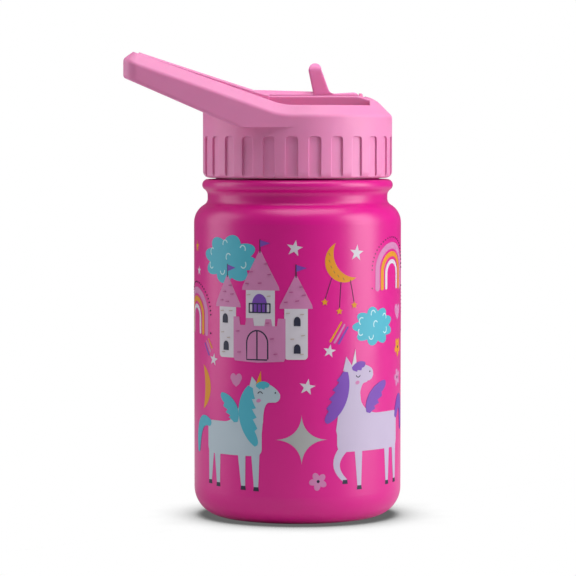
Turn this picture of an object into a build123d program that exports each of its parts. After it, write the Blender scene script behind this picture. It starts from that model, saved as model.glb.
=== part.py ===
from build123d import *
from math import cos, hypot, pi, radians, sin, sqrt, tan
import os

# Insulated bottle for a child: a double-walled steel flask, a screw lid with a carrying loop,
# and a flip-up straw spout. Millimetres. The origin is on the flask's axis, at the level it
# stands on; +Z is up, the carrying loop points along -X and the folded spout along +X.

# ---- flask: radii and heights of the outer wall ----
body_r = 36.5            # straight wall
wall_top_z = 103.5       # top of the straight wall
base_corner_r = 10.2     # rounding between wall and foot
shoulder_r = 7.2         # rounding at the shoulder
groove_in = 4.8          # neck groove, inwards from the straight wall
groove_round_r = 2.4     # hollow rounding on both sides of the groove
bead_in = 2.9            # rolled bead, inwards from the straight wall
bead_round_r = 2.0       # half round of the bead
bead_rise = 13.2         # bead centre above the straight wall
neck_in = 7.7            # screw neck, inwards from the straight wall
neck_rise = 14.8         # rim above the bead centre
steel = 0.6              # sheet of shell, liner and base
# ---- flask: foot and vacuum space ----
foot_w = 1.8             # flat ring that the flask stands on
foot_lip_h = 1.8         # how far the base plate sits above that ring
vacuum_gap = 4.0         # between the two side walls
vacuum_floor = 4.0       # between base plate and liner
liner_corner_r = 8.0
liner_shoulder_r = 6.0
liner_hollow_r = 4.0
liner_shoulder_drop = 4.5  # liner shoulder below the outer one
neck_gap = 0.6           # between the two necks
rim_h = 0.9              # rolled rim that joins the two necks
rim_round_r = 0.4
getter_r, getter_h = 4.0, 2.0
getter_x = 13.0
getter_wall = 0.3
dimple_r, dimple_h = 4.0, 0.9
exhaust_r = 0.6          # hole that the air was drawn out of
glass_r, glass_h = 1.8, 0.63
glass_round_r = 0.35
# ---- screw thread ----
thread_lead = 4.0
thread_h = 1.0
thread_root_w, thread_crest_w = 2.0, 1.0
thread_bite = 0.3        # how far a ridge is rooted in its wall
thread_low = 4.0         # neck ridge's start above the bead's top
thread_slack = 0.4       # ridge crest to the other part's wall
thread_play = 0.15       # flank to flank
# ---- lid ----
lid_gap = 0.5            # bead to skirt
skirt_in = 3.2           # skirt, inwards from the straight wall
skirt_edge_r = 2.2
shell_wall = 1.9
liner_edge_up = 0.4      # thread liner's edge above the skirt's edge
gasket_w, gasket_h = 3.1, 1.8
gasket_in = 2.4          # gasket's hole, inwards from the neck
seal_gap = 0.02
plate_h = 2.1
deck_h = 2.0
crest_rise = 9.0         # top of the chamfer above the lid's ceiling
chamfer_w = 3.6
shoulder_round_r = 1.8   # between the chamfer and the sides
crown_rise = 12.4        # top of the crown above the lid's ceiling
crown_in = 11.1          # flat of the crown, inwards from the skirt
flute_n = 26
flute_w, flute_depth, flute_h = 4.2, 0.7, 14.5
flute_corner_r = 1.2
flute_turn = -93.7       # direction of the first flute, degrees
rim_w = 1.5              # wall left outside the side pockets
pocket_back, pocket_front = 12.0, 25.0   # the pockets' ends, from the axis
pocket_corner_r = 0.8
# ---- carrying loop ----
loop_out = 26.4          # past the skirt
loop_arm_w = 9.0
loop_bar_w = 8.0
loop_corner_r = 5.0
loop_band_corner_r = 1.5  # least corner of the raised band
loop_under_r = 1.2
loop_inner_r = 5.0
loop_under = 7.6         # flat underside below the crest
loop_under_x = 20.7      # where the underside starts to rise
loop_under_deg = 23.5
loop_top_x = 5.0         # where the top starts to rise
loop_top_deg = 19.5
loop_top_r = 22.0
land_in = 1.3            # raised inner band, inwards from the chamfer
land_x = 9.8             # where the band rises out of the crown
land_deg = 18.2
land_edge_w = 0.6        # chamfer of the band's edge
back_edge_r = 1.0        # rounding of the lid's back wall, between the arms
# ---- spout ----
pivot_back = 15.0        # hinge behind the bottle's axis
barrel_r = 6.1           # hinge barrel; the nozzle's top is level with the barrel's
nozzle_below = 5.2       # nozzle's underside below the hinge
spout_half_w = 8.7
spout_tip_in = 11.7      # spout's tip, inwards from the skirt
spout_top_slope = 0.6    # fall of the top from hinge to tab
spout_shoulder_w = 1.7   # chamfer along the spout's top
spout_keel_r = 4.0
side_gap = 0.3           # spout to channel, each side
turn_gap = 0.4           # spout's sweep to the channel's ends
rail_w = 2.5
rail_edge_r = 0.7
trunnion_r = 2.5
trunnion_fit = 0.06
tab_x = 20.5             # tab's foot from the hinge
tab_t, tab_rise, tab_lean = 4.4, 9.3, 1.6
tab_corner_r = 3.0
tab_front_x, tab_front_drop = 2.5, 7.0   # straight part of the tab's front
scoop_x = 27.7           # lowest point of the thumb scoop, from the hinge
scoop_drop, lip_rise = 1.3, 0.4
lip_back, lip_drop = 2.3, 2.0
flow_r = 2.6
mouth_r, mouth_lip_r = 4.1, 5.0
mouth_lip_w = 1.4
mouth_depth = 14.0
# ---- lid's inside ----
seal_r, seal_sink = 5.5, 0.4
seal_fit = 0.05
seal_wrap = 0.7          # how far the seal's saddle reaches up round the barrel
boss_r, boss_drop = 6.6, 8.3
straw_r, straw_wall = 3.8, 1.0
straw_fit = 0.05
straw_seat = 6.4
straw_foot_gap = 2.2
straw_cut_deg = 30.0
valve_x, valve_y = 9.0, 17.0
valve_r, valve_flange_r, valve_flange_h = 2.3, 4.0, 1.0
valve_stem, valve_bill = 3.9, 3.0
valve_bill_w = 0.8
valve_bore_r = 1.3
vent_r = 1.0
valve_fit = 0.05

# ---- worked out from the sizes above ----
groove_r = body_r - groove_in
bead_r = body_r - bead_in
bead_z = wall_top_z + bead_rise
bead_top_z = bead_z + bead_round_r
neck_r = body_r - neck_in
rim_z = bead_z + neck_rise
foot_r = body_r - base_corner_r
base_r = foot_r - foot_w
plate_top_z = foot_lip_h + steel
liner_r = body_r - steel - vacuum_gap
liner_floor_z = plate_top_z + vacuum_floor
liner_neck_r = neck_r - steel - neck_gap
lid_z = bead_top_z + lid_gap
skirt_r = body_r - skirt_in
cavity_r = skirt_r - shell_wall
gasket_low_z = rim_z + seal_gap
plate_low_z = gasket_low_z + gasket_h
ceiling_z = plate_low_z + plate_h
deck_z = ceiling_z + deck_h
crest_z = ceiling_z + crest_rise
crest_r = skirt_r - chamfer_w
crown_z = ceiling_z + crown_rise
crown_r = skirt_r - crown_in
thread_major_r = neck_r + thread_h + thread_slack
thread_z = bead_top_z + thread_low
flank_w = (thread_root_w - thread_crest_w) / 2
thread_step = thread_crest_w + flank_w * (thread_h - thread_slack) / thread_h + thread_play
pivot_x = -pivot_back
pivot_z = deck_z + side_gap + barrel_r
channel_half_w = spout_half_w + side_gap
rail_r = channel_half_w + rail_w
spout_tip_x = skirt_r - spout_tip_in
mouth_x = spout_tip_x + mouth_lip_w
channel_back_x = pivot_x - barrel_r - turn_gap
channel_front_x = pivot_x + hypot(mouth_x - pivot_x, mouth_lip_r) + turn_gap
seal_low_z = plate_low_z - seal_sink
boss_low_z = plate_low_z - boss_drop
tall = crown_z + 3 * loop_out   # higher than anything on the bottle


def turned(*edges):
    """Solid of revolution about the bottle's axis from a closed outline in radius and height."""
    return revolve(Plane.XZ * make_face(edges), Axis.Z)


def ring(outer_r, inner_r, low_z, high_z):
    """Plain tube about the bottle's axis."""
    return Pos(0, 0, low_z) * extrude(Circle(outer_r) - Circle(inner_r), high_z - low_z)


def rod(radius, low_z, high_z, x=0, y=0):
    """Upright cylinder."""
    return Pos(x, y, low_z) * extrude(Circle(radius), high_z - low_z)


def cross_rod(radius, half_w, x, z):
    """Cylinder across the bottle, centred on its middle plane."""
    return Pos(x, 0, z) * Rot(90, 0, 0) * Cylinder(radius, 2 * half_w)


def s_curve(r_a, round_a, z_a, r_b, round_b, inset, up):
    """Bulging arc at radius r_a and height z_a that runs smoothly into a hollow arc at radius r_b.

    Gives the two edges and the height at which the hollow arc ends upright.
    up is 1 where the hollow lies above the bulge and -1 where it lies below.
    """
    across = (r_b + round_b) - (r_a - round_a)
    rise = sqrt((round_a + round_b) ** 2 - across**2)
    unit = Vector(across, up * rise) / (round_a + round_b)
    low = Vector(r_a - round_a, z_a)
    high = Vector(r_b + round_b, z_a + up * rise)
    bulge, hollow = round_a - inset, round_b + inset
    meet = low + unit * bulge
    start, stop = low + Vector(bulge, 0), high - Vector(hollow, 0)
    middle = (Vector(1, 0) + unit).normalized()
    first = ThreePointArc(start, low + middle * bulge, meet)
    second = ThreePointArc(meet, high - middle * hollow, stop)
    return first, second, stop.Y


def flask_space(inset):
    """What the outer wall encloses, set in from its outside by a thickness."""
    low_a, low_b, groove_low = s_curve(
        body_r, shoulder_r, wall_top_z, groove_r, groove_round_r, inset, 1
    )
    top_a, top_b, groove_high = s_curve(
        bead_r, bead_round_r, bead_z, groove_r, groove_round_r, inset, -1
    )
    corner = base_corner_r - inset
    bead = bead_round_r - inset
    bead_mid = Vector(bead_r - bead_round_r, bead_z)
    floor = inset
    return turned(
        Line((0, floor), (foot_r, floor)),
        ThreePointArc(
            (foot_r, floor),
            (foot_r + corner * sin(pi / 4), base_corner_r - corner * cos(pi / 4)),
            (foot_r + corner, base_corner_r),
        ),
        Line((body_r - inset, base_corner_r), (body_r - inset, wall_top_z)),
        low_a,
        low_b,
        Line((groove_r - inset, groove_low), (groove_r - inset, groove_high)),
        top_b,
        top_a,
        ThreePointArc(
            bead_mid + Vector(bead, 0),
            bead_mid + Vector(bead * cos(pi / 4), bead * sin(pi / 4)),
            bead_mid + Vector(0, bead),
        ),
        Line(bead_mid + Vector(0, bead), (neck_r - inset, bead_z + bead)),
        Line((neck_r - inset, bead_z + bead), (neck_r - inset, rim_z - rim_h)),
        Line((neck_r - inset, rim_z - rim_h), (0, rim_z - rim_h)),
        Line((0, rim_z - rim_h), (0, floor)),
    )


def thread_ridge(wall_r, mid_z, inward):
    """One turn of screw ridge, rooted in a wall of this radius and standing outwards or inwards."""
    way = -1 if inward else 1
    path = Helix(thread_lead, thread_lead, wall_r, center=(0, 0, mid_z))
    root, crest = wall_r - way * thread_bite, wall_r + way * thread_h
    flank = flank_w / thread_h * thread_bite
    section = Polyline(
        (root, 0, mid_z - thread_root_w / 2 - flank),
        (crest, 0, mid_z - thread_crest_w / 2),
        (crest, 0, mid_z + thread_crest_w / 2),
        (root, 0, mid_z + thread_root_w / 2 + flank),
        close=True,
    )
    return sweep(make_face(section), path=path, is_frenet=True)


def outer_shell():
    """Outer steel wall with its groove, bead and screw neck, open at the foot."""
    shell = flask_space(0) - flask_space(steel)
    shell -= rod(base_r - steel, -1, base_corner_r)
    shell += ring(base_r, base_r - steel, 0, plate_top_z)
    shell += thread_ridge(neck_r, thread_z, inward=False)
    return shell


def liner_space(inset):
    """What the inner wall encloses, set in from its outside by a thickness."""
    top_z = wall_top_z - liner_shoulder_drop
    bulge, hollow, neck_z = s_curve(
        liner_r, liner_shoulder_r, top_z, liner_neck_r, liner_hollow_r, inset, 1
    )
    corner = liner_corner_r - inset
    low, mid = liner_floor_z + inset, liner_floor_z + liner_corner_r
    inner_r = liner_r - liner_corner_r
    return turned(
        Line((0, low), (inner_r, low)),
        ThreePointArc(
            (inner_r, low),
            (inner_r + corner * sin(pi / 4), mid - corner * cos(pi / 4)),
            (inner_r + corner, mid),
        ),
        Line((liner_r - inset, mid), (liner_r - inset, top_z)),
        bulge,
        hollow,
        Line((liner_neck_r - inset, neck_z), (liner_neck_r - inset, rim_z)),
        Line((liner_neck_r - inset, rim_z), (0, rim_z)),
        Line((0, rim_z), (0, low)),
    )


def inner_liner():
    """Inner steel wall; its rolled rim covers both necks."""
    lip = ring(neck_r, liner_neck_r - steel, rim_z - rim_h, rim_z)
    lip = fillet(lip.edges().group_by(Axis.Z)[-1], rim_round_r)
    wall = liner_space(0) - liner_space(steel) - rod(neck_r, rim_z - rim_h, rim_z)
    return wall + lip


def base_plate():
    """Steel disc in the foot, with a dimple round the hole that the air was drawn out of."""
    inner_r = base_r - steel
    plate = rod(inner_r, foot_lip_h, plate_top_z)
    plate += rod(dimple_r + steel, foot_lip_h, plate_top_z + dimple_h)
    plate -= rod(dimple_r, 0, foot_lip_h + dimple_h)
    return plate - rod(exhaust_r, 0, tall)


def vacuum_seal():
    """Bead of solder glass that closes the hole in the base plate."""
    high = foot_lip_h + dimple_h
    bead = rod(glass_r, high - glass_h, high)
    bead = fillet(bead.edges().group_by(Axis.Z)[0], glass_round_r)
    return bead + rod(exhaust_r, high, high + steel)


def getter_holder():
    """Small steel cup on the base plate that holds the getter in the vacuum."""
    cup = rod(getter_r + getter_wall, plate_top_z, plate_top_z + getter_wall + getter_h, getter_x)
    return cup - rod(getter_r, plate_top_z + getter_wall, tall, getter_x)


def getter_pellet():
    """Pressed tablet that takes up gas left in the vacuum."""
    low = plate_top_z + getter_wall
    pellet = rod(getter_r, low, low + getter_h, getter_x)
    return chamfer(pellet.edges().group_by(Axis.Z)[-1], getter_wall)


def loop_profile(top_z, rise_x, rise_deg):
    """Side view of the loop and the lid's upper part: level at top_z, then rising backwards."""
    end_x = -2 * (skirt_r + loop_out)
    front_x = 2 * skirt_r
    low_z = crest_z - loop_under
    top_end = top_z + (-rise_x - end_x) * tan(radians(rise_deg))
    low_end = low_z + (-loop_under_x - end_x) * tan(radians(loop_under_deg))
    outline = Polyline(
        (front_x, low_z),
        (front_x, top_z),
        (-rise_x, top_z),
        (end_x, top_end),
        (end_x, low_end),
        (-loop_under_x, low_z),
        close=True,
    )
    face = make_face(outline)
    bend = face.vertices().sort_by_distance(Vector(-rise_x, top_z))[0]
    return fillet(bend, loop_top_r)


def loop_plan(inset):
    """Plan of the lid and loop: the skirt's circle running straight back into the loop's arms."""
    half_w, end_x = skirt_r - inset, -(skirt_r + loop_out) + inset
    corner = max(loop_corner_r - inset, loop_band_corner_r)
    mid = corner * (1 - cos(pi / 4))
    return make_face(
        [
            ThreePointArc((0, -half_w), (half_w, 0), (0, half_w)),
            Line((0, half_w), (end_x + corner, half_w)),
            ThreePointArc(
                (end_x + corner, half_w), (end_x + mid, half_w - mid), (end_x, half_w - corner)
            ),
            Line((end_x, half_w - corner), (end_x, -half_w + corner)),
            ThreePointArc(
                (end_x, -half_w + corner), (end_x + mid, -half_w + mid), (end_x + corner, -half_w)
            ),
            Line((end_x + corner, -half_w), (0, -half_w)),
        ]
    )


def loop_block(inset, top_z, rise_x, rise_deg):
    """Lid's upper part and loop, set in from the outline, before the finger gap is cut."""
    upright = extrude(loop_plan(inset), tall)
    side = Plane.XZ * loop_profile(top_z, rise_x, rise_deg)
    return upright & extrude(side, skirt_r + loop_out, both=True)


def finger_gap():
    """Space between the loop's arms, up to the lid."""
    half_w = skirt_r - loop_arm_w
    back_x, front_x = -(skirt_r + loop_out - loop_bar_w), 0
    mid_x = (back_x + front_x) / 2
    sketch = Pos(mid_x, 0) * RectangleRounded(front_x - back_x, 2 * half_w, loop_inner_r)
    return extrude(sketch, tall)


def lid_crown():
    """Round part of the lid: skirt, chamfer and domed crown, solid."""
    rise, run = crown_z - crest_z, crest_r - crown_r
    dome_r = (rise**2 + run**2) / (2 * rise)
    centre = Vector(crown_r, crown_z - dome_r)
    toward = (Vector(crest_r, crest_z) - centre).normalized() + Vector(0, 1)
    edge = skirt_edge_r
    corner_z = crest_z - chamfer_w
    back = shoulder_round_r * tan(pi / 8)
    slope = back * cos(pi / 4)
    round_mid = Vector(skirt_r - shoulder_round_r, corner_z - back)
    round_mid += Vector(cos(pi / 8), sin(pi / 8)) * shoulder_round_r
    return turned(
        Line((0, lid_z), (skirt_r - edge, lid_z)),
        ThreePointArc(
            (skirt_r - edge, lid_z),
            (skirt_r - edge * (1 - sin(pi / 4)), lid_z + edge * (1 - cos(pi / 4))),
            (skirt_r, lid_z + edge),
        ),
        Line((skirt_r, lid_z + edge), (skirt_r, corner_z - back)),
        ThreePointArc((skirt_r, corner_z - back), round_mid, (skirt_r - slope, corner_z + slope)),
        Line((skirt_r - slope, corner_z + slope), (crest_r, crest_z)),
        ThreePointArc(
            (crest_r, crest_z), centre + toward.normalized() * dome_r, (crown_r, crown_z)
        ),
        Line((crown_r, crown_z), (0, crown_z)),
        Line((0, crown_z), (0, lid_z)),
    )


def beside_rails(outer):
    """The two plan areas beside the spout's rails that lie inside an outline."""
    length = pocket_back + pocket_front
    mid_x = (pocket_front - pocket_back) / 2
    strip_w = skirt_r - rail_r
    offsets = [side * (rail_r + strip_w / 2) for side in (-1, 1)]
    return [outer & (Pos(mid_x, y) * Rectangle(length, strip_w)) for y in offsets]


def lowered_sides():
    """What is taken off the crown beside the rails, down to the crest of the chamfer."""
    outline = Circle(skirt_r)
    return [Pos(0, 0, crest_z) * extrude(area, tall) for area in beside_rails(outline)]


def rails():
    """Crown with its sides lowered, which leaves the two rails along the spout, edges rounded."""
    crown = lid_crown() - lowered_sides()
    tops = crown.edges().filter_by(Axis.X).filter_by(lambda e: e.center().Z > crown_z - 1e-6)
    return fillet(tops.filter_by(lambda e: abs(abs(e.center().Y) - rail_r) < 1e-6), rail_edge_r)


def back_wall():
    """Upright back wall of the lid between the loop's arms, where the chamfer leaves off."""
    wall = rod(skirt_r, crest_z - chamfer_w - shoulder_round_r, crest_z)
    wall = fillet(wall.edges().group_by(Axis.Z)[-1], back_edge_r)
    return wall & finger_gap()


def side_pockets():
    """Hollows on both sides of the rails, inside the lid's rim."""
    areas = beside_rails(Circle(crest_r - rim_w))
    rounded = [fillet(area.vertices(), pocket_corner_r) for area in areas]
    return [Pos(0, 0, deck_z) * extrude(area, tall) for area in rounded]


def spout_channel():
    """Trough that the folded spout lies in, round-ended under the hinge."""
    length = channel_front_x - pivot_x
    height = tall - deck_z
    trough = Pos(pivot_x + length / 2, 0, deck_z + height / 2) * Box(length, 2 * channel_half_w, height)
    trough = fillet(trough.edges().filter_by(Axis.X).group_by(Axis.Z)[0], spout_keel_r)
    back_w = pivot_x - channel_back_x
    back = Pos(pivot_x - back_w / 2, 0, pivot_z + tall / 2) * Box(back_w, 2 * channel_half_w, tall)
    return trough + back + cross_rod(back_w, channel_half_w, pivot_x, pivot_z)


def flutes():
    """Upright grip recesses round the skirt, round-cornered at the top."""
    low_z = lid_z - lid_gap
    height = flute_h + lid_gap
    outline = Pos(0, low_z + height / 2) * Rectangle(flute_w, height)
    outline = fillet(outline.vertices().group_by(Axis.Y)[-1], flute_corner_r)
    bar = Pos(skirt_r - flute_depth, 0, 0) * extrude(Plane.YZ * outline, 2 * flute_depth)
    return [Rot(0, 0, flute_turn + k * 360 / flute_n) * bar for k in range(flute_n)]


def shared(faces, others):
    """Edges between two groups of faces."""
    return [e for e in faces.edges() if any(e.is_same(o) for o in others.edges())]


def loop_frame():
    """Lid's upper part and loop with the chamfer that runs round both, before the finger gap."""
    block = loop_block(0, crest_z, loop_top_x, loop_top_deg)
    tops = block.faces().filter_by(lambda f: f.normal_at().Z > 0.3)
    sides = block.faces().filter_by(lambda f: abs(f.normal_at().Z) < 0.01)
    block = chamfer(shared(tops, sides), chamfer_w)
    slopes = block.faces().filter_by(lambda f: -0.99 < f.normal_at().Z < -0.3)
    sides = block.faces().filter_by(lambda f: abs(f.normal_at().Z) < 0.01)
    block = fillet(shared(slopes, sides), loop_under_r)
    sides = block.faces().filter_by(lambda f: abs(f.normal_at().Z) < 0.01)
    chamfers = block.faces().filter_by(lambda f: 0.3 < f.normal_at().Z < 0.9)
    block = fillet(shared(chamfers, sides), shoulder_round_r)
    band = loop_block(chamfer_w + land_in, crown_z, land_x, land_deg)
    tops = band.faces().filter_by(lambda f: f.normal_at().Z > 0.3)
    sides = band.faces().filter_by(lambda f: abs(f.normal_at().Z) < 0.01)
    band = chamfer(shared(tops, sides), land_edge_w)
    band = split(band, Plane.YZ.offset(-land_x), keep=Keep.BOTTOM)
    return block + band - finger_gap()


def lid_shell():
    """Outer moulding of the lid, with the carrying loop, the spout's rails and the grip flutes."""
    shell = loop_frame() + rails() + back_wall()
    shell -= side_pockets()
    shell -= spout_channel()
    shell -= rod(cavity_r, lid_z - 1, ceiling_z)
    shell -= rod(seal_r + seal_fit, ceiling_z, pivot_z, pivot_x)
    shell -= cross_rod(trunnion_r + trunnion_fit, rail_r, pivot_x, pivot_z)
    shell -= rod(vent_r, ceiling_z, tall, valve_x, valve_y)
    return shell - flutes()


def thread_liner():
    """Inner moulding of the lid: ceiling, screw thread, and the straw's socket."""
    outer_r = cavity_r - seal_fit
    liner = rod(outer_r, plate_low_z, ceiling_z)
    liner += ring(outer_r, thread_major_r, lid_z + liner_edge_up, plate_low_z)
    liner += rod(boss_r, boss_low_z, plate_low_z, pivot_x)
    liner -= rod(seal_r + seal_fit, seal_low_z, ceiling_z, pivot_x)
    liner -= rod(flow_r, boss_low_z, ceiling_z, pivot_x)
    liner -= rod(straw_r + straw_fit, boss_low_z, boss_low_z + straw_seat, pivot_x)
    liner -= rod(valve_r + valve_fit, plate_low_z, ceiling_z, valve_x, valve_y)
    flange_z = ceiling_z - valve_flange_h
    liner -= rod(valve_flange_r + valve_fit, flange_z, ceiling_z, valve_x, valve_y)
    return liner + thread_ridge(thread_major_r, thread_z - thread_step, inward=True)


def lid_gasket():
    """Flat silicone ring between the flask's rim and the lid's ceiling."""
    inner_r = neck_r - gasket_in
    return ring(inner_r + gasket_w, inner_r, gasket_low_z, plate_low_z)


def seat_seal():
    """Silicone seat that the spout's barrel turns on; its hole is open when the spout stands up."""
    seal = rod(seal_r, seal_low_z, pivot_z - barrel_r + seal_wrap, pivot_x)
    seal -= rod(flow_r, 0, tall, pivot_x)
    return seal - cross_rod(barrel_r + seal_fit, channel_half_w, pivot_x, pivot_z)


def vent_valve():
    """Silicone duckbill that lets air in while drinking and keeps water back."""
    flange_z = ceiling_z - valve_flange_h
    bill_z = flange_z - valve_stem
    tip_z = bill_z - valve_bill
    valve = rod(valve_flange_r, flange_z, ceiling_z) + rod(valve_r, tip_z, flange_z)
    wedge = make_face(
        Polyline(
            (-valve_flange_r, ceiling_z),
            (valve_flange_r, ceiling_z),
            (valve_flange_r, flange_z),
            (valve_r, flange_z),
            (valve_r, bill_z),
            (valve_bill_w / 2, tip_z),
            (-valve_bill_w / 2, tip_z),
            (-valve_r, bill_z),
            (-valve_r, flange_z),
            (-valve_flange_r, flange_z),
            close=True,
        )
    )
    valve &= extrude(Plane.XZ * wedge, valve_flange_r, both=True)
    valve -= rod(valve_bore_r, bill_z, tall)
    return Pos(valve_x, valve_y, 0) * valve


def straw():
    """Straight drinking straw, cut slanting at its foot."""
    low_z = liner_floor_z + steel + straw_foot_gap
    tube = rod(straw_r, low_z, boss_low_z + straw_seat, pivot_x)
    tube -= rod(straw_r - straw_wall, 0, tall, pivot_x)
    lean = radians(straw_cut_deg)
    cut = Plane(origin=(pivot_x - straw_r, 0, low_z), z_dir=(-sin(lean), 0, cos(lean)))
    return split(tube, cut, keep=Keep.TOP)


def spout_side():
    """Side view of the nozzle, from the hinge to the lip at its tip."""
    top_z, low_z = pivot_z + barrel_r, pivot_z - nozzle_below
    tab_foot = (pivot_x + tab_x, top_z - spout_top_slope)
    scoop = (pivot_x + scoop_x, top_z - scoop_drop)
    lip = (spout_tip_x - lip_back, scoop[1] + lip_rise)
    chin = (spout_tip_x, lip[1] - lip_drop)
    curl = (spout_tip_x - lip_back * (1 - sin(pi / 4)), lip[1] - lip_drop * (1 - cos(pi / 4)))
    return make_face(
        [
            Line((pivot_x, low_z), (pivot_x, top_z)),
            Line((pivot_x, top_z), tab_foot),
            Line(tab_foot, scoop),
            Line(scoop, lip),
            ThreePointArc(lip, curl, chin),
            Line(chin, (spout_tip_x, low_z)),
            Line((spout_tip_x, low_z), (pivot_x, low_z)),
        ]
    )


def spout_tab():
    """Thumb tab: as wide as the spout, leaning back, its front curving into the scoop."""
    top_z = pivot_z + barrel_r
    foot = (pivot_x + tab_x, top_z - spout_top_slope)
    scoop = (pivot_x + scoop_x, top_z - scoop_drop)
    head_x, head_z = foot[0] - tab_lean + tab_t / 2, top_z + tab_rise - tab_t / 2
    back, front = (head_x - tab_t / 2, head_z), (head_x + tab_t / 2, head_z)
    knee = (front[0] + tab_front_x, front[1] - tab_front_drop)
    side = make_face(
        [
            Line((foot[0], top_z - spout_shoulder_w), foot),
            Line(foot, back),
            ThreePointArc(back, (head_x, head_z + tab_t / 2), front),
            Line(front, knee),
            TangentArc(knee, scoop, tangent=(tab_front_x, -tab_front_drop)),
            Line(scoop, (foot[0], top_z - spout_shoulder_w)),
        ]
    )
    tab = extrude(Plane.XZ * side, spout_half_w, both=True)
    high = top_z + tab_rise
    outline = Pos(0, high / 2) * Rectangle(2 * spout_half_w, high)
    outline = fillet(outline.vertices().group_by(Axis.Y)[-1], tab_corner_r)
    return tab & extrude(Plane.YZ * outline, tall, both=True)


def spout_body():
    """Flip-up spout: hinge barrel with trunnions, nozzle, thumb tab, and the bore through them."""
    nozzle = extrude(Plane.XZ * spout_side(), spout_half_w, both=True)
    along = nozzle.edges().filter_by(lambda e: abs((e @ 0).Y - (e @ 1).Y) < 1e-6)
    past_hinge = along.filter_by(lambda e: min((e @ 0).X, (e @ 1).X) > pivot_x - 1e-6)
    keel = past_hinge.filter_by(lambda e: max((e @ 0).Z, (e @ 1).Z) < pivot_z - nozzle_below + 1e-6)
    nozzle = fillet(keel, spout_keel_r)
    body = nozzle + cross_rod(barrel_r, spout_half_w, pivot_x, pivot_z)
    outline = Pos(0, pivot_z) * Rectangle(2 * spout_half_w, 2 * barrel_r)
    outline = chamfer(outline.vertices().group_by(Axis.Y)[-1], spout_shoulder_w)
    body &= extrude(Plane.YZ * outline, tall, both=True)
    body += spout_tab()
    body += cross_rod(trunnion_r, rail_r - side_gap, pivot_x, pivot_z)
    body -= along_rod(flow_r, pivot_x - 2 * barrel_r, mouth_x)
    return body - along_rod(mouth_r, spout_tip_x - mouth_depth, mouth_x)


def along_rod(radius, back_x, front_x):
    """Cylinder along the folded spout's bore."""
    return Pos(back_x, 0, pivot_z) * Rot(0, 90, 0) * extrude(Circle(radius), front_x - back_x)


def mouthpiece():
    """Soft silicone sleeve in the nozzle, with a lip that stands out of the tip."""
    sleeve = along_rod(mouth_r, spout_tip_x - mouth_depth, spout_tip_x)
    lip = along_rod(mouth_lip_r, spout_tip_x, mouth_x)
    lip = fillet(lip.edges().group_by(Axis.X)[-1], mouth_lip_w / 2)
    return sleeve + lip - along_rod(flow_r, 0, tall)


parts = {
    "outer_shell": outer_shell,
    "inner_liner": inner_liner,
    "base_plate": base_plate,
    "vacuum_seal": vacuum_seal,
    "getter_holder": getter_holder,
    "getter_pellet": getter_pellet,
    "lid_shell": lid_shell,
    "thread_liner": thread_liner,
    "lid_gasket": lid_gasket,
    "seat_seal": seat_seal,
    "vent_valve": vent_valve,
    "straw": straw,
    "spout_body": spout_body,
    "mouthpiece": mouthpiece,
}
os.makedirs("parts", exist_ok=True)
for name, make in parts.items():
    export_step(make(), f"parts/{name}.step")
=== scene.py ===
import bpy
import bmesh
import math
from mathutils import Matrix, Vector
from mathutils.geometry import tessellate_polygon


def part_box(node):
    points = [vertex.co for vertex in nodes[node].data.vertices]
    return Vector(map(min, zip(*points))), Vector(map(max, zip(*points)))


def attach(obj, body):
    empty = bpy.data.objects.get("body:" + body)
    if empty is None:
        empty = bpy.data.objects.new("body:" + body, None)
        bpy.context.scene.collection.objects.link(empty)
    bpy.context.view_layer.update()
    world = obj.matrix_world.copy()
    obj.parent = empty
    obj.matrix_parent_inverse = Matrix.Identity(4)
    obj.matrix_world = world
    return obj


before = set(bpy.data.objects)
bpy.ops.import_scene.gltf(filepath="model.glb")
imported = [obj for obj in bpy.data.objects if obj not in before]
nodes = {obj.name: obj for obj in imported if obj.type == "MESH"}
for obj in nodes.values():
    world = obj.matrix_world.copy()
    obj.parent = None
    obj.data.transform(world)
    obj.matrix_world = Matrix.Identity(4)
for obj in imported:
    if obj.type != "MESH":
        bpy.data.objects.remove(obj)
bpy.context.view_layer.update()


# ---------------------------------------------------------------- flask's outer wall
# Drawn stainless steel with a satin powder coat, baked on to the bead and round the foot.
# The screw neck above the bead and the ring inside the foot stay bare metal.
mm = 0.001
shell_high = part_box("outer_shell")[1]
wall_r = shell_high.x
flask_top = shell_high.z
bare_neck_h = 10.5 * mm  # uncoated below the neck's top
bare_foot_r = 25.2 * mm  # uncoated inside the foot ring


def linear(hex_colour):
    """An sRGB hex colour as the linear colour that a shader takes."""
    parts = [int(hex_colour[i : i + 2], 16) / 255 for i in (0, 2, 4)]
    curve = [c / 12.92 if c <= 0.04045 else ((c + 0.055) / 1.055) ** 2.4 for c in parts]
    return (*curve, 1.0)


def new_material(name):
    """An empty node material with a Principled shader joined to its output."""
    material = bpy.data.materials.new(name)
    material.use_nodes = True
    tree = material.node_tree
    tree.nodes.clear()
    output = tree.nodes.new("ShaderNodeOutputMaterial")
    shader = tree.nodes.new("ShaderNodeBsdfPrincipled")
    tree.links.new(shader.outputs["BSDF"], output.inputs["Surface"])
    return material, tree, shader


def add_node(tree, kind, inputs, **settings):
    """A node with its settings, and its inputs either set to a value or linked from a socket."""
    node = tree.nodes.new(kind)
    for key, value in settings.items():
        setattr(node, key, value)
    for key, value in inputs.items():
        if isinstance(value, bpy.types.NodeSocket):
            tree.links.new(value, node.inputs[key])
        else:
            node.inputs[key].default_value = value
    return node


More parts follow.
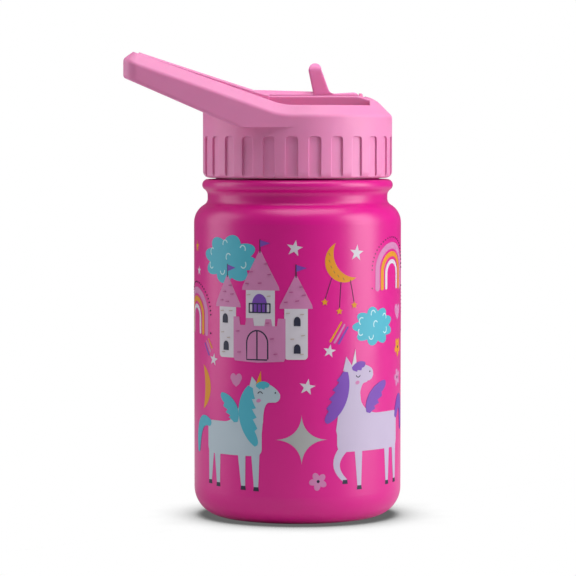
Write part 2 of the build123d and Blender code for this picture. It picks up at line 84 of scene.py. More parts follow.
def grained(
    name, colour, other, grain, rough, bump, edge=0.0, metal=0.0, ior=1.5, stretch=(1, 1, 1)
):
    """A surface with cloudy tone between two colours, fine grain of a real size in mm, uneven
    roughness from rough[0] to rough[1], bump height in mm and worn-round edges of a radius in mm."""
    material, tree, shader = new_material(name)
    place = add_node(tree, "ShaderNodeTexCoord", {}).outputs["Object"]
    mapping = add_node(tree, "ShaderNodeMapping", {"Vector": place, "Scale": stretch})
    shaped = mapping.outputs["Vector"]
    cloud = add_node(
        tree, "ShaderNodeTexNoise", {"Vector": shaped, "Scale": 1 / (40 * grain * mm), "Detail": 3.0}
    )
    fine = add_node(
        tree, "ShaderNodeTexNoise", {"Vector": shaped, "Scale": 1 / (grain * mm), "Detail": 2.0}
    )
    tone = add_node(tree, "ShaderNodeMix", {}, data_type="RGBA")
    tree.links.new(cloud.outputs["Fac"], tone.inputs[0])
    tone.inputs[6].default_value = linear(colour)
    tone.inputs[7].default_value = linear(other)
    wear = add_node(
        tree,
        "ShaderNodeMapRange",
        {"Value": fine.outputs["Fac"], "To Min": rough[0], "To Max": rough[1]},
    )
    relief = add_node(
        tree,
        "ShaderNodeBump",
        {"Height": fine.outputs["Fac"], "Distance": bump * mm, "Strength": 1.0},
    )
    if edge:
        softened = add_node(tree, "ShaderNodeBevel", {"Radius": edge * mm}, samples=6)
        tree.links.new(softened.outputs["Normal"], relief.inputs["Normal"])
    tree.links.new(tone.outputs[2], shader.inputs["Base Color"])
    tree.links.new(wear.outputs["Result"], shader.inputs["Roughness"])
    tree.links.new(relief.outputs["Normal"], shader.inputs["Normal"])
    shader.inputs["Metallic"].default_value = metal
    shader.inputs["IOR"].default_value = ior
    return material, tree, shader


def dress(node, material):
    """Gives a CAD node one material."""
    nodes[node].data.materials.clear()
    nodes[node].data.materials.append(material)


# A powder coat gives a satin skin with a soft highlight and a faint grain about half a
# millimetre across. Bare steel is parted from it where the real bottle is masked for coating.
coat, tree, shader = grained(
    "powder_coated_steel",
    "d8068b",
    "d10485",
    grain=0.45,
    rough=(0.28, 0.38),
    bump=0.006,
    edge=0.35,
)
shader.inputs["Specular IOR Level"].default_value = 0.5
place = add_node(tree, "ShaderNodeTexCoord", {}).outputs["Object"]
axes = add_node(tree, "ShaderNodeSeparateXYZ", {"Vector": place})
flat = add_node(tree, "ShaderNodeCombineXYZ", {"X": axes.outputs["X"], "Y": axes.outputs["Y"]})
radius = add_node(tree, "ShaderNodeVectorMath", {0: flat.outputs["Vector"]}, operation="LENGTH")
coat_edge = flask_top - bare_neck_h
above = add_node(
    tree, "ShaderNodeMath", {0: axes.outputs["Z"], 1: coat_edge}, operation="GREATER_THAN"
)
inside = add_node(
    tree, "ShaderNodeMath", {0: radius.outputs["Value"], 1: bare_foot_r}, operation="LESS_THAN"
)
bare = add_node(
    tree, "ShaderNodeMath", {0: above.outputs[0], 1: inside.outputs[0]}, operation="MAXIMUM"
)
coat_colour = shader.inputs["Base Color"].links[0].from_socket
parted = add_node(tree, "ShaderNodeMix", {}, data_type="RGBA")
tree.links.new(bare.outputs[0], parted.inputs[0])
tree.links.new(coat_colour, parted.inputs[6])
parted.inputs[7].default_value = linear("c9c8c6")
tree.links.new(parted.outputs[2], shader.inputs["Base Color"])
tree.links.new(bare.outputs[0], shader.inputs["Metallic"])
dress("outer_shell", coat)


# ---------------------------------------------------------------- flask's inner wall and foot
# Bare stainless steel, spun and brushed round the axis. The liner is welded to the neck's rim,
# and the base plate is pressed into the foot and brazed.
# Spinning and brushing leave bright metal with fine lines round the axis.
steel, _, _ = grained(
    "brushed_stainless_steel",
    "cfcdca",
    "b9b7b4",
    grain=0.25,
    rough=(0.22, 0.36),
    bump=0.003,
    edge=0.15,
    metal=1.0,
    stretch=(1, 1, 12),
)
dress("inner_liner", steel)
dress("base_plate", steel)
dress("getter_holder", steel)


# ---------------------------------------------------------------- vacuum closing
# A bead of black solder glass melted over the hole in the base plate, and a pressed grey
# tablet of getter metal inside the vacuum.
# Glass that set as a drop is black, glossy and a little wavy. Pressed powder is dull and rough.
glass, _, _ = grained(
    "melted_solder_glass", "26262b", "17171b", grain=0.6, rough=(0.08, 0.2), bump=0.02
)
dress("vacuum_seal", glass)
tablet, _, _ = grained(
    "sintered_getter_metal",
    "6d6c6e",
    "4a494c",
    grain=0.2,
    rough=(0.6, 0.85),
    bump=0.03,
    metal=0.6,
)
dress("getter_pellet", tablet)


# ---------------------------------------------------------------- lid, spout and thread liner
# Polypropylene, injection moulded in pinks. The outside has a fine spark-eroded grain; the
# thread liner inside is smooth and snapped into the shell.
# The grained mould leaves the lid matte, and light that soaks in a little softens its edges.
lid_plastic, _, lid_shader = grained(
    "moulded_pink_polypropylene",
    "e489b9",
    "e085b5",
    grain=0.16,
    rough=(0.42, 0.56),
    bump=0.012,
    edge=0.45,
)
lid_shader.inputs["Subsurface Weight"].default_value = 0.3
lid_shader.inputs["Subsurface Radius"].default_value = (1.0, 0.35, 0.6)
lid_shader.inputs["Subsurface Scale"].default_value = 2.5 * mm
dress("lid_shell", lid_plastic)
# The spout is a lighter pink than the lid and has rounder edges.
spout_plastic, _, spout_shader = grained(
    "moulded_pink_spout_polypropylene",
    "f08cc2",
    "ec88be",
    grain=0.14,
    rough=(0.4, 0.54),
    bump=0.01,
    edge=0.9,
)
spout_shader.inputs["Subsurface Weight"].default_value = 0.35
spout_shader.inputs["Subsurface Radius"].default_value = (1.0, 0.35, 0.6)
spout_shader.inputs["Subsurface Scale"].default_value = 3.0 * mm
dress("spout_body", spout_plastic)
# A polished mould leaves the liner smooth, with a sharper highlight.
liner_plastic, _, _ = grained(
    "smooth_moulded_polypropylene",
    "d97bae",
    "cf70a5",
    grain=0.5,
    rough=(0.3, 0.4),
    bump=0.004,
    edge=0.2,
)
dress("thread_liner", liner_plastic)


# ---------------------------------------------------------------- soft pieces and straw
# Clear silicone, compression moulded: gasket, spout seat and duckbill. The mouthpiece is
# silicone dyed pink, and the straw is extruded natural polypropylene.
# Clear silicone looks milky, with a soft sheen, and lets part of the light through.
silicone, _, silicone_shader = grained(
    "clear_moulded_silicone",
    "e4e1de",
    "d6d3d0",
    grain=0.4,
    rough=(0.35, 0.5),
    bump=0.006,
    edge=0.2,
    ior=1.41,
)
silicone_shader.inputs["Transmission Weight"].default_value = 0.35
for node in ("lid_gasket", "seat_seal", "vent_valve"):
    dress(node, silicone)
# Dyed silicone is nearly matte, and a little light soaks in.
dyed, _, dyed_shader = grained(
    "pink_moulded_silicone",
    "e080b2",
    "d678a9",
    grain=0.3,
    rough=(0.4, 0.55),
    bump=0.006,
    edge=0.3,
    ior=1.41,
)
dyed_shader.inputs["Subsurface Weight"].default_value = 0.2
dyed_shader.inputs["Subsurface Scale"].default_value = 1.5 * mm
dress("mouthpiece", dyed)
# Plastic without dye is a cloudy white that light passes through.
tube, _, tube_shader = grained(
    "extruded_natural_polypropylene",
    "ececea",
    "dfdfdd",
    grain=0.8,
    rough=(0.2, 0.32),
    bump=0.004,
    edge=0.1,
)
tube_shader.inputs["Transmission Weight"].default_value = 0.45
dress("straw", tube)


# ---------------------------------------------------------------- printed pattern: how ink lies
# Heat-transfer inks on the powder coat. The film is drawn flat, as millimetres round the wall
# from the front and up from the table, and then rolled on to the wall. Each shape lies a step
# higher than the one before it, and the pattern comes twice round the bottle.
ink_lift = 0.03  # lowest ink above the wall
ink_step = 0.006  # each ink above the one under it
ink_depth = 0.05  # film's back, inside the wall
strip_w = 1.0  # the film is bent at every line of this spacing
half_round = math.pi * wall_r / mm


def ink(name, colour, other):
    """A matte printed ink with the faint mottle of a screened film."""
    material, _, ink_shader = grained(
        name, colour, other, grain=0.3, rough=(0.42, 0.6), bump=0.004
    )
    ink_shader.inputs["Specular IOR Level"].default_value = 0.35
    return material


inks = {
    "white": ink("printed_white_ink", "d2cdd6", "c9c3ce"),
    "teal": ink("printed_teal_ink", "4cacc1", "44a6bb"),
    "light_teal": ink("printed_pale_teal_ink", "b7dadf", "abd3da"),
    "pink": ink("printed_pink_ink", "cb81b1", "c379a8"),
    "deep_pink": ink("printed_deep_pink_ink", "b4568f", "a84b84"),
    "gold": ink("printed_gold_ink", "da931d", "d08a1a"),
    "brown": ink("printed_brown_ink", "9a7d3a", "8c7033"),
    "purple": ink("printed_purple_ink", "7a49b0", "6f40a4"),
    "dark": ink("printed_dark_ink", "2a2c44", "222338"),
    "grey": ink("printed_pearl_grey_ink", "b3c3cd", "aabbc7"),
    "lilac": ink("printed_lilac_ink", "c0b4cd", "b8abc7"),
    "silver": ink("printed_silver_ink", "adafae", "a4a6a7"),
    "tan": ink("printed_tan_ink", "b9a69c", "ad9a90"),
}
ink_names = list(inks)


def print_on(name, shapes):
    """Rolls flat shapes, given as (outline, ink) from the lowest up, on to the flask's wall."""
    bm = bmesh.new()
    rise = bm.verts.layers.float.new("rise")
    for index, (outline, colour) in enumerate(shapes):
        for shift in (0.0, half_round):
            corners = [bm.verts.new((u + shift, v, 0)) for u, v in outline]
            for vert in corners:
                vert[rise] = ink_lift + ink_step * index
            for a, b, c in tessellate_polygon([[Vector((u, v, 0)) for u, v in outline]]):
                face = bm.faces.new((corners[a], corners[b], corners[c]))
                face.material_index = ink_names.index(colour)
    bm.normal_update()
    for face in bm.faces:
        if face.normal.z < 0:
            face.normal_flip()
    us = [v.co.x for v in bm.verts]
    for k in range(int(min(us) // strip_w), int(max(us) // strip_w) + 1):
        geometry = bm.verts[:] + bm.edges[:] + bm.faces[:]
        bmesh.ops.bisect_plane(
            bm, geom=geometry, dist=1e-5, plane_co=(k * strip_w, 0, 0), plane_no=(1, 0, 0)
        )
    top = bm.faces[:]
    copied = bmesh.ops.duplicate(bm, geom=top)
    under = [f for f in copied["geom"] if isinstance(f, bmesh.types.BMFace)]
    for vert in {v for f in under for v in f.verts}:
        vert[rise] = -ink_depth
    rim = [e for f in top for e in f.edges if len(e.link_faces) == 1]
    pairs = copied["vert_map"]
    for edge in rim:
        face = edge.link_faces[0]
        loop = next(corner for corner in face.loops if corner.edge == edge)
        a, b = loop.vert, loop.link_loop_next.vert
        wall = bm.faces.new((b, a, pairs[a], pairs[b]))
        wall.material_index = face.material_index
    for face in under:
        face.normal_flip()
    for vert in bm.verts:
        angle = vert.co.x * mm / wall_r
        r = wall_r + vert[rise] * mm
        vert.co = (r * math.sin(angle), -r * math.cos(angle), vert.co.y * mm)
    mesh = bpy.data.meshes.new(name)
    bm.to_mesh(mesh)
    bm.free()
    used = sorted({p.material_index for p in mesh.polygons})
    for index in used:
        mesh.materials.append(inks[ink_names[index]])
    for polygon in mesh.polygons:
        polygon.material_index = used.index(polygon.material_index)
    piece = bpy.data.objects.new(name, mesh)
    bpy.context.scene.collection.objects.link(piece)
    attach(piece, "flask")


# ---------------------------------------------------------------- print: clouds
# Plump clouds printed in two inks, a teal ground with short pale curls over it. The left one
# goes down first and the castle is printed over its edge.
def lobed(u, v, wide, high, lobes, depth, turn):
    """Round outline with bulging lobes, as of a cloud or a flower."""
    points = []
    count = 12 * lobes
    for k in range(count):
        a = 2 * math.pi * k / count
        r = 1 - depth + depth * abs(math.sin(lobes * a / 2))
        b = a + math.radians(turn)
        points.append((u + wide * r * math.cos(b), v + high * r * math.sin(b)))
    return points


def arc(u, v, wide, high, start, stop, count):
    """Open stretch of an ellipse from one angle to another, in degrees."""
    angles = [math.radians(start + (stop - start) * k / count) for k in range(count + 1)]
    return [(u + wide * math.cos(a), v + high * math.sin(a)) for a in angles]


def round_cap(centre, first, count):
    """Half circle from a point clockwise round a centre, ends left out."""
    c = Vector(centre)
    arm = Vector(first) - c
    points = []
    for k in range(1, count):
        a = -math.pi * k / count
        points.append(
            (
                c.x + arm.x * math.cos(a) - arm.y * math.sin(a),
                c.y + arm.x * math.sin(a) + arm.y * math.cos(a),
            )
        )
    return points


def stroke(line, start_w, end_w=None, middle_w=None):
    """Outline of a brush stroke along an open line, round-ended, its width changing on the way."""
    end_w = start_w if end_w is None else end_w
    last = len(line) - 1
    left, right = [], []
    for k, (x, y) in enumerate(line):
        ahead, behind = line[min(k + 1, last)], line[max(k - 1, 0)]
        along = Vector((ahead[0] - behind[0], ahead[1] - behind[1])).normalized()
        t = k / last
        width = start_w + (end_w - start_w) * t
        if middle_w is not None:
            width += (middle_w - (start_w + end_w) / 2) * 4 * t * (1 - t)
        left.append((x - along.y * width / 2, y + along.x * width / 2))
        right.append((x + along.y * width / 2, y - along.x * width / 2))
    cap_end = round_cap(line[-1], left[-1], 6)
    cap_start = round_cap(line[0], right[0], 6)
    return left + cap_end + right[::-1] + cap_start


def cloud(u, v, wide, high, lobes, turn):
    """A cloud with its curls."""
    shapes = [(lobed(u, v, wide, high, lobes, 0.24, turn), "teal")]
    curls = ((-0.62, 0.28, 60), (-0.1, 0.62, 20), (0.5, 0.42, -20), (0.02, 0.08, 40))
    curls += ((-0.66, -0.25, 140), (-0.2, -0.48, 190), (0.52, -0.2, 220))
    for across, up, start in curls:
        line = arc(u + across * wide, v + up * high, 1.05, 1.25, start, start + 175, 8)
        shapes.append((stroke(line, 0.42), "light_teal"))
    return shapes


print_on("print_left_cloud", cloud(-26.2, 91.6, 12.8, 8.5, 8, 10))
print_on("print_right_cloud", cloud(30.0, 68.4, 10.4, 6.8, 9, 0))


# ---------------------------------------------------------------- print: castle
# A toy castle: three white towers with tiled pink roofs and flags, joined by a pink wall
# with a double gate. Roofs, windows, bricks and tiles are printed over the towers and wall.
def panel(low_u, high_u, low_v, high_v, corner):
    """Rectangle with round corners."""
    points = []
    spots = (
        (high_u - corner, high_v - corner, 0),
        (low_u + corner, high_v - corner, 90),
        (low_u + corner, low_v + corner, 180),
        (high_u - corner, low_v + corner, 270),
    )
    for u, v, start in spots:
        points += arc(u, v, corner, corner, start, start + 90, 4)
    return points


def tower(mid, low, body_w, eaves, roof_w, apex):
    """Tower body, roof, flagpole and flag."""
    half = body_w / 2
    roof = [(mid - roof_w / 2, eaves - 0.4), (mid + roof_w / 2, eaves - 0.4)]
    roof += [(mid + roof_w / 2 - 0.2, eaves + 0.8), (mid + 0.35, apex), (mid - 0.35, apex)]
    roof += [(mid - roof_w / 2 + 0.2, eaves + 0.8)]
    flag = [(mid + 0.1, apex + 3.8), (mid + 3.7, apex + 2.7), (mid + 0.1, apex + 1.4)]
    shapes = [(panel(mid - half, mid + half, low, eaves + 1.2, 1.2), "white")]
    shapes.append((roof, "pink"))
    shapes.append((stroke([(mid, apex - 0.4), (mid, apex + 3.8)], 0.4), "dark"))
    shapes.append((flag, "purple"))
    return shapes


def dashes(spots, colour):
    """Short level strokes, as for bricks or tiles."""
    length = 1.1
    return [(stroke([(u, v), (u + length, v + 0.1)], 0.26), colour) for u, v in spots]


def small_window(u, v):
    """Round-topped dark window."""
    outline = arc(u, v, 1.15, 1.5, 0, 180, 10) + [(u - 1.15, v - 1.7), (u + 1.15, v - 1.7)]
    return [(outline, "dark")]


castle = tower(-26.4, 57.8, 7.6, 75.6, 11.6, 86.0)
castle += tower(-13.2, 62.0, 10.6, 81.6, 13.8, 94.6)
castle += tower(-0.6, 57.6, 8.0, 75.4, 11.4, 86.2)
notched = [(-23.6, 58.0), (-23.0, 56.9), (-14.0, 56.4), (-4.8, 56.9), (-4.2, 58.0)]
notched += [(-4.2, 71.6), (-6.8, 71.6), (-7.2, 69.0), (-8.8, 69.0), (-9.2, 71.4)]
notched += [(-11.2, 71.4), (-11.6, 69.0), (-15.4, 69.0), (-15.8, 71.6), (-18.4, 71.6)]
notched += [(-18.8, 69.2), (-20.8, 69.2), (-21.2, 72.0), (-23.6, 72.0)]
castle.append((notched, "pink"))
gate = arc(-14.3, 63.0, 3.9, 4.4, 0, 180, 16)
gate = [(-10.4, 57.4)] + gate + [(-18.2, 57.4), (-10.4, 57.4)]
castle.append((stroke(gate, 0.5), "dark"))
castle.append((stroke([(-14.3, 57.4), (-14.3, 67.2)], 0.5), "dark"))
castle.append((arc(-13.4, 76.4, 2.7, 3.6, 0, 180, 14) + [(-16.1, 73.4), (-10.7, 73.4)], "purple"))
for end in (73.6, 76.6):
    castle.append((stroke([(-17.2, end), (-9.6, end)], 0.42), "dark"))
for k in range(6):
    u = -17.2 + k * 7.6 / 5
    castle.append((stroke([(u, 73.6), (u, 76.6)], 0.42), "dark"))
for u, v in ((-27.4, 71.4), (-27.0, 62.0), (-0.2, 70.8), (-0.2, 61.4)):
    castle += small_window(u, v)
castle += dashes(((-29.4, 73.8), (-25.4, 73.9), (-29.2, 66.4), (-26.4, 64.6), (-28.8, 59.6)), "tan")
castle += dashes(((-18.0, 79.6), (-10.6, 79.2), (-3.9, 73.4), (0.9, 73.0), (-2.4, 64.6)), "tan")
castle += dashes(((1.2, 65.8), (0.8, 59.4)), "tan")
tiles = ((-29.6, 77.4), (-27.0, 77.0), (-24.9, 79.6), (-28.2, 80.4), (-25.6, 82.6))
tiles += ((-18.6, 83.4), (-13.8, 83.6), (-10.4, 86.6), (-17.0, 87.4), (-11.6, 90.2))
tiles += ((-4.6, 77.2), (-0.8, 77.6), (1.6, 79.6), (-2.8, 80.6), (0.6, 82.4))
tiles += ((-22.4, 67.0), (-9.4, 64.6), (-21.8, 59.8), (-8.2, 59.4), (-11.0, 70.0))
castle += dashes(tiles, "deep_pink")
print_on("print_castle", castle)


# ---------------------------------------------------------------- print: stars and moons
# White and gold inks: five-pointed stars, two of them shooting with three coloured rays, a
# gold crescent, a moon that small stars hang from on threads, and a silver sparkle.
def star(u, v, size, inner=0.4, turn=90.0):
    """Straight-sided five-pointed star."""
    points = []
    for k in range(10):
        a = math.radians(turn + 36 * k)
        r = size if k % 2 == 0 else size * inner
        points.append((u + r * math.cos(a), v + r * math.sin(a)))
    return points


def crescent(u, v, size, waist, turn, spread):
    """Crescent whose horns lie spread degrees to both sides of its thickest point."""
    outer = arc(u, v, size, size, turn - spread, turn + spread, 30)
    lean = math.radians(turn)
    a, b = Vector(outer[0]), Vector(outer[-1])
    middle = (a + b) / 2
    deep = Vector((u, v)) + Vector((math.cos(lean), math.sin(lean))) * (size - waist)
    sag, chord = (deep - middle).length, (a - b).length / 2
    inner_r = (chord**2 + sag**2) / (2 * sag)
    centre = deep - Vector((math.cos(lean), math.sin(lean))) * inner_r
    swing = math.degrees(math.atan2(chord, inner_r - sag))
    inner = arc(centre.x, centre.y, inner_r, inner_r, turn + swing, turn - swing, 30)
    return outer + inner[1:-1]


def shooting_star(u, v, turn, size, reach, rays):
    """Star with three rays of a length trailing behind it in a direction."""
    lean = math.radians(turn)
    along = Vector((math.cos(lean), math.sin(lean)))
    across = Vector((-along.y, along.x))
    shapes = [(star(u, v, size, turn=80), "white")]
    for k, colour in enumerate(rays):
        start = Vector((u, v)) + along * (size + 0.6 + 0.5 * k) + across * (1.5 - 1.5 * k)
        stop = start + along * (reach - 0.6 * k)
        shapes.append((stroke([tuple(start), tuple(stop)], 0.75, 0.6), colour))
    return shapes


for k, (u, v, size, turn) in enumerate(
    ((-1.1, 95.6, 2.9, 80), (3.2, 48.2, 2.9, 80), (21.4, 93.8, 2.9, 84), (-44.6, 87.0, 1.8, 90))
):
    print_on(f"print_star_{k + 1}", [(star(u, v, size, turn=turn), "white")])
print_on("print_star_gold", [(star(-46.8, 95.4, 2.2), "gold")])
trail = ("purple", "pink", "gold")
print_on("print_shooting_star_left", shooting_star(-33.6, 56.6, 126, 2.3, 4.8, trail))
print_on("print_shooting_star_right", shooting_star(11.0, 60.4, 58, 2.4, 7.6, trail[::-1]))
moon_u, moon_v, moon_r, moon_waist, moon_turn = 16.6, 91.0, 7.2, 3.9, 214
hung = [(crescent(moon_u, moon_v, moon_r, moon_waist, moon_turn, 96), "gold")]
for away in (-58, -36, -14, 8, 30, 52):
    a = math.radians(moon_turn + away)
    r = moon_r - moon_waist / 2 * math.cos(math.radians(away))
    u, v = moon_u + r * math.cos(a), moon_v + r * math.sin(a)
    hung.append((stroke([(u - 0.2, v + 0.35), (u + 0.2, v - 0.35)], 0.28), "brown"))
threads = ((11.8, 85.4, 9.3, 77.8), (15.2, 83.9, 14.6, 74.6), (18.8, 84.6, 20.4, 76.6))
for top_u, top_v, u, v in threads:
    hung.append((stroke([(top_u, top_v), (u, v)], 0.2), "dark"))
    hung.append((star(u, v - 0.6, 1.3, inner=0.5), "gold"))
print_on("print_hung_moon", hung)
print_on("print_gold_crescent", [(crescent(-43.9, 46.8, 8.4, 3.7, 0, 66), "gold")])
sparkle = []
slimness = 3.7  # power that draws the four arms in
for k in range(64):
    a = 2 * math.pi * k / 64
    across = math.copysign(abs(math.cos(a)) ** slimness, math.cos(a))
    up = math.copysign(abs(math.sin(a)) ** slimness, math.sin(a))
    sparkle.append((1.3 + 9.2 * across, 30.1 + 8.8 * up))
print_on("print_silver_sparkle", [(sparkle, "silver")])


# ---------------------------------------------------------------- print: rainbows
# Arches of three bands, one ink each, with open coat between them, and an outer arc of
# small dots.
def disc(u, v, wide, high, count, turn=0.0):
    """Ellipse by its half sizes, turned by degrees."""
    lean = math.radians(turn)
    points = []
    for k in range(count):
        a = 2 * math.pi * k / count
        x, y = wide * math.cos(a), high * math.sin(a)
        across = x * math.cos(lean) - y * math.sin(lean)
        up = x * math.sin(lean) + y * math.cos(lean)
        points.append((u + across, v + up))
    return points


def arch(mid, low, wide, high, leg):
    """Line up one leg, over the top and down the other."""
    over = arc(mid, low + leg, wide, high, 180, 0, 24)
    return [(mid - wide, low)] + over + [(mid + wide, low)]


def rainbow(mid, low):
    """Three bands and the dots."""
    shapes = [(stroke(arch(mid, low, 9.4, 8.5, 6.0), 2.3), "pink")]
    shapes.append((stroke(arch(mid, low, 6.7, 6.2, 5.4), 1.8), "gold"))
    shapes.append((stroke(arch(mid, low, 4.2, 4.2, 4.8), 1.4), "white"))
    for u, v in arch(mid, low, 12.2, 11.0, 6.4):
        shapes.append((disc(u, v, 0.26, 0.28, 8), "dark"))
    return shapes


print_on("print_left_rainbow", rainbow(-47.6, 65.6))
print_on("print_right_rainbow", rainbow(40.6, 81.4))


# ---------------------------------------------------------------- print: flowers and hearts
# Small fillers between the pictures, each in one ink: five-petalled flowers, with a dark eye
# printed over them, and hearts.
def flower(u, v, size, colour, turn):
    """Flower with its eye."""
    petals = lobed(u, v, size, size, 5, 0.42, turn)
    return [(petals, colour), (disc(u, v, 0.55, 0.55, 12), "dark")]


def heart(u, v, size):
    """Heart from two round shoulders and a point."""
    left = arc(u - 0.5 * size, v + 0.3 * size, 0.52 * size, 0.62 * size, 30, 190, 12)
    right = arc(u + 0.5 * size, v + 0.3 * size, 0.52 * size, 0.62 * size, -10, 150, 12)
    side, low = 0.55 * size, v - 0.6 * size
    return right + left + [(u - side, low), (u, v - size), (u + side, low)]


print_on("print_flower_low", flower(7.0, 15.8, 3.2, "pink", 80))
print_on("print_flower_gold", flower(46.6, 60.2, 3.4, "gold", 90))
print_on("print_flower_right", flower(46.0, 49.6, 3.2, "pink", 70))
print_on("print_heart_left", [(heart(-22.6, 50.2, 2.4), "pink")])
print_on("print_heart_right", [(heart(46.2, 72.6, 2.9), "pink")])


# ---------------------------------------------------------------- print: toy ponies
# Two plain winged ponies with closed eyes, one pearl grey with teal hair and one lilac with
# purple. Body and legs are one ink, and hair, hooves and face are printed over it.
def bow(points, count=10):
    """Smooth open line through three points."""
    (a, b), (c, d), (e, f) = points
    line = []
    for k in range(count + 1):
        t = k / count
        w = (2 * (t - 0.5) * (t - 1), -4 * t * (t - 1), 2 * t * (t - 0.5))
        line.append((w[0] * a + w[1] * c + w[2] * e, w[0] * b + w[1] * d + w[2] * f))
    return line


def pony_legs(coat_ink, legs):
    """Tapering legs with dark hooves."""
    shapes = []
    for line in legs:
        shapes.append((stroke(line, 3.3, 1.6), coat_ink))
        foot_u, foot_v = line[-1]
        hoof = [(foot_u - 0.85, foot_v + 0.2), (foot_u - 1.05, foot_v - 1.2)]
        hoof += [(foot_u + 1.05, foot_v - 1.2), (foot_u + 0.85, foot_v + 0.2)]
        shapes.append((hoof, "dark"))
    return shapes


def lock(line, wide, teeth, side):
    """Lock of hair or wing of feathers along a line, toothed on its left (1) or right (-1) edge."""
    smooth_edge, toothed_edge = [], []
    last = len(line) - 1
    for k, (x, y) in enumerate(line):
        ahead, behind = line[min(k + 1, last)], line[max(k - 1, 0)]
        along = Vector((ahead[0] - behind[0], ahead[1] - behind[1])).normalized()
        t = k / last
        # blunt where it starts and thin at its tip; each tooth swells and then steps back
        half = wide / 2 * math.sin(math.pi * (0.06 + 0.92 * t)) ** 0.6
        out = half * (0.78 + 0.6 * (t * teeth % 1.0))
        smooth_edge.append((x + side * along.y * half, y - side * along.x * half))
        toothed_edge.append((x - side * along.y * out, y + side * along.x * out))
    return smooth_edge + toothed_edge[::-1]


def face(u, v, eye_way, cheek_u, cheek_v, nostril_u, nostril_v):
    """Closed eye curving up (1) or down (-1), a pink cheek and a nostril."""
    start = 20 if eye_way > 0 else 200
    shapes = [(stroke(arc(u, v, 0.85, 0.85, start, start + 140, 8), 0.3), "dark")]
    shapes.append((disc(cheek_u, cheek_v, 0.85, 0.65, 14, 15), "pink"))
    shapes.append((disc(nostril_u, nostril_v, 0.28, 0.28, 10), "dark"))
    return shapes


grey_pony = pony_legs(
    "grey",
    (
        [(-34.9, 27.0), (-35.6, 14.6)],
        [(-31.6, 26.6), (-31.0, 14.0)],
        [(-20.4, 26.4), (-19.7, 13.6)],
        [(-15.0, 26.6), (-14.7, 13.4)],
    ),
)
grey_pony.append((panel(-36.9, -12.6, 24.2, 35.6, 2.4), "grey"))
grey_pony.append((stroke([(-18.0, 29.6), (-14.6, 45.6)], 10.4, 6.6), "grey"))
grey_pony.append((stroke(bow([(-29.0, 34.2), (-23.4, 35.8), (-19.6, 41.6)]), 2.8), "grey"))
grey_pony.append((stroke(bow([(-14.4, 46.4), (-11.0, 46.6), (-8.2, 45.0)]), 6.4, 4.4), "grey"))
grey_pony.append((stroke(bow([(-9.2, 43.9), (-12.2, 42.2), (-13.2, 36.0)]), 2.2), "grey"))
grey_pony.append(([(-17.4, 47.4), (-16.2, 51.6), (-13.8, 48.8)], "grey"))
grey_pony.append(([(-14.8, 48.8), (-12.9, 53.6), (-12.7, 49.2)], "gold"))
forelock = [(-14.6 + 0.4 * k, 48.5 + 0.04 * k) for k in range(13)]
mane = bow([(-16.6, 48.0), (-18.4, 38.4), (-14.6, 27.8)], 40)
tail = bow([(-36.2, 34.6), (-42.4, 33.4), (-44.6, 24.6)], 14)
wing = bow([(-22.8, 35.6), (-24.8, 40.8), (-29.4, 45.2)], 32)
grey_pony.append((lock(forelock, 2.6, 3, -1), "teal"))
grey_pony.append((lock(mane, 6.0, 5, 1), "teal"))
grey_pony.append((stroke(tail, 2.6, 2.0, 4.2), "teal"))
grey_pony.append((lock(wing, 4.8, 4, 1), "teal"))
grey_pony += face(-13.1, 45.6, 1, -13.7, 43.4, -7.7, 46.2)
print_on("print_grey_pony", grey_pony)

lilac_pony = pony_legs(
    "lilac",
    (
        bow([(17.2, 27.6), (13.6, 21.6), (16.8, 15.8)]),
        [(22.2, 27.2), (22.6, 13.6)],
        [(36.8, 27.4), (36.9, 14.2)],
        [(42.2, 27.6), (42.6, 14.4)],
    ),
)
lilac_pony.append((panel(13.8, 44.4, 25.6, 38.4, 2.4), "lilac"))
lilac_pony.append((stroke([(18.8, 33.0), (19.2, 51.0)], 10.8, 6.4), "lilac"))
lilac_pony.append((stroke(bow([(21.0, 47.0), (23.6, 39.4), (32.0, 36.6)]), 3.4), "lilac"))
lilac_pony.append((stroke(bow([(19.6, 51.8), (23.0, 52.6), (26.4, 52.2)]), 7.2, 5.0), "lilac"))
lilac_pony.append((stroke(bow([(25.2, 50.4), (22.4, 48.4), (21.4, 42.4)]), 2.4), "lilac"))
lilac_pony.append(([(16.0, 53.4), (17.2, 58.4), (19.6, 55.0)], "lilac"))
lilac_pony.append(([(19.4, 55.0), (20.9, 60.8), (21.3, 55.4)], "white"))
forelock = [(19.6 + 0.46 * k, 54.0 + 0.16 * k) for k in range(13)]
mane = bow([(16.8, 53.2), (14.6, 43.8), (9.8, 35.8)], 40)
tail = bow([(44.0, 36.8), (48.6, 41.6), (50.6, 32.0)], 14)
wing = bow([(26.6, 38.6), (29.6, 44.2), (35.8, 49.0)], 32)
lilac_pony.append((lock(forelock, 3.0, 3, -1), "purple"))
lilac_pony.append((lock(mane, 5.6, 5, -1), "purple"))
lilac_pony.append((stroke(tail, 2.4, 2.0, 4.2), "purple"))
lilac_pony.append((lock(wing, 5.2, 4, -1), "purple"))
lilac_pony += face(22.0, 52.0, -1, 21.7, 49.3, 27.2, 52.9)
print_on("print_lilac_pony", lilac_pony)


# ---------------------------------------------------------------- table and backdrop
# A plain studio table covered with matte white paper. It runs so far back that its far edge
# lies behind the bottle and fades into the white backdrop.
floor_mesh = bpy.data.meshes.new("studio_table")
reach = 30.0
corners = [(-reach, -reach, 0), (reach, -reach, 0), (reach, reach, 0), (-reach, reach, 0)]
floor_mesh.from_pydata(corners, [], [(0, 1, 2, 3)])
floor = bpy.data.objects.new("studio_table", floor_mesh)
bpy.context.scene.collection.objects.link(floor)
paper, tree, shader = grained(
    "white_table_paper_with_painted_shadow", "dcdcdc", "d8d8d8", grain=1.0, rough=(0.6, 0.7), bump=0.0
)
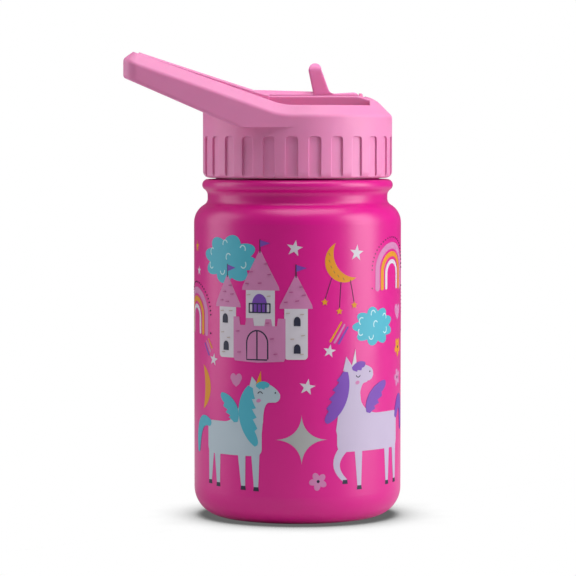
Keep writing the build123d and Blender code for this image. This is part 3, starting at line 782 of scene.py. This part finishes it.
# To the camera the paper glows an even white. A painted contact shadow, drawn from ambient
# occlusion, darkens it within this reach of the bottle.
shade_reach = 70 * mm
closeness = add_node(tree, "ShaderNodeAmbientOcclusion", {"Distance": shade_reach}, samples=16)
shade = add_node(tree, "ShaderNodeValToRGB", {"Fac": closeness.outputs["AO"]})
# The dark end is the deepest painted shadow right beside the bottle; the light end is the plain
# glowing white.
dark_end, light_end = shade.color_ramp.elements
dark_end.position, dark_end.color = 0.41, (0.12, 0.12, 0.12, 1)
light_end.position, light_end.color = 0.74, (1, 1, 1, 1)
painted_shadow_glow = add_node(tree, "ShaderNodeEmission", {"Color": shade.outputs["Color"], "Strength": 1.0})
rays = add_node(tree, "ShaderNodeLightPath", {})
seen = add_node(
    tree,
    "ShaderNodeMixShader",
    {0: rays.outputs["Is Camera Ray"], 1: shader.outputs["BSDF"], 2: painted_shadow_glow.outputs["Emission"]},
)
paper_out = next(n for n in tree.nodes if n.type == "OUTPUT_MATERIAL")
tree.links.new(seen.outputs["Shader"], paper_out.inputs["Surface"])
floor_mesh.materials.append(paper)


# ---------------------------------------------------------------- light
# A large soft box to the right of the camera, a weaker one on the left, and one above. The
# backdrop is pure white to the camera and lights the bottle only weakly.
def soft_box(name, place, aim, wide, high, watts):
    """Rectangular area light that looks at a point."""
    data = bpy.data.lights.new(name, "AREA")
    data.shape = "RECTANGLE"
    data.size, data.size_y, data.energy = wide, high, watts
    lamp = bpy.data.objects.new(name, data)
    lamp.location = place
    lamp.rotation_mode = "QUATERNION"
    lamp.rotation_quaternion = (Vector(aim) - Vector(place)).to_track_quat("-Z", "Y")
    bpy.context.scene.collection.objects.link(lamp)


middle = (0, 0, flask_top * 0.6)
soft_box("key_right", (0.67, -0.16, 0.20), middle, 0.42, 0.90, 6.5)
soft_box("fill_left", (-0.61, 0.06, 0.26), middle, 0.40, 0.60, 1.7)
soft_box("top", (0.05, -0.10, 0.72), middle, 0.60, 0.50, 3.4)

world = bpy.data.worlds.new("studio")
bpy.context.scene.world = world
world.use_nodes = True
tree = world.node_tree
tree.nodes.clear()
room_light, backdrop = 0.16, 1.0
rays = add_node(tree, "ShaderNodeLightPath", {})
bright = add_node(
    tree,
    "ShaderNodeMapRange",
    {"Value": rays.outputs["Is Camera Ray"], "To Min": room_light, "To Max": backdrop},
)
sky = add_node(
    tree,
    "ShaderNodeBackground",
    {"Color": (1, 1, 1, 1), "Strength": bright.outputs["Result"]},
)
add_node(tree, "ShaderNodeOutputWorld", {"Surface": sky.outputs["Background"]})


# ---------------------------------------------------------------- camera
# A long lens about a metre away, at the height of the lid and aimed a little down,
# square to the lid's plane of symmetry.
camera_data = bpy.data.cameras.new("camera")
camera = bpy.data.objects.new("camera", camera_data)
bpy.context.scene.collection.objects.link(camera)
bpy.context.scene.camera = camera
camera_x = -3.35 * mm
camera_away, camera_up, aim_up = 1.005, 133 * mm, 80.2 * mm
camera.location = (camera_x, -camera_away, camera_up)
camera.rotation_mode = "QUATERNION"
aim = Vector((camera_x, 0, aim_up))
camera.rotation_quaternion = (aim - camera.location).to_track_quat("-Z", "Y")
camera_data.sensor_width = 36.0
camera_data.lens = 178.0
bpy.context.scene.view_settings.view_transform = "Standard"
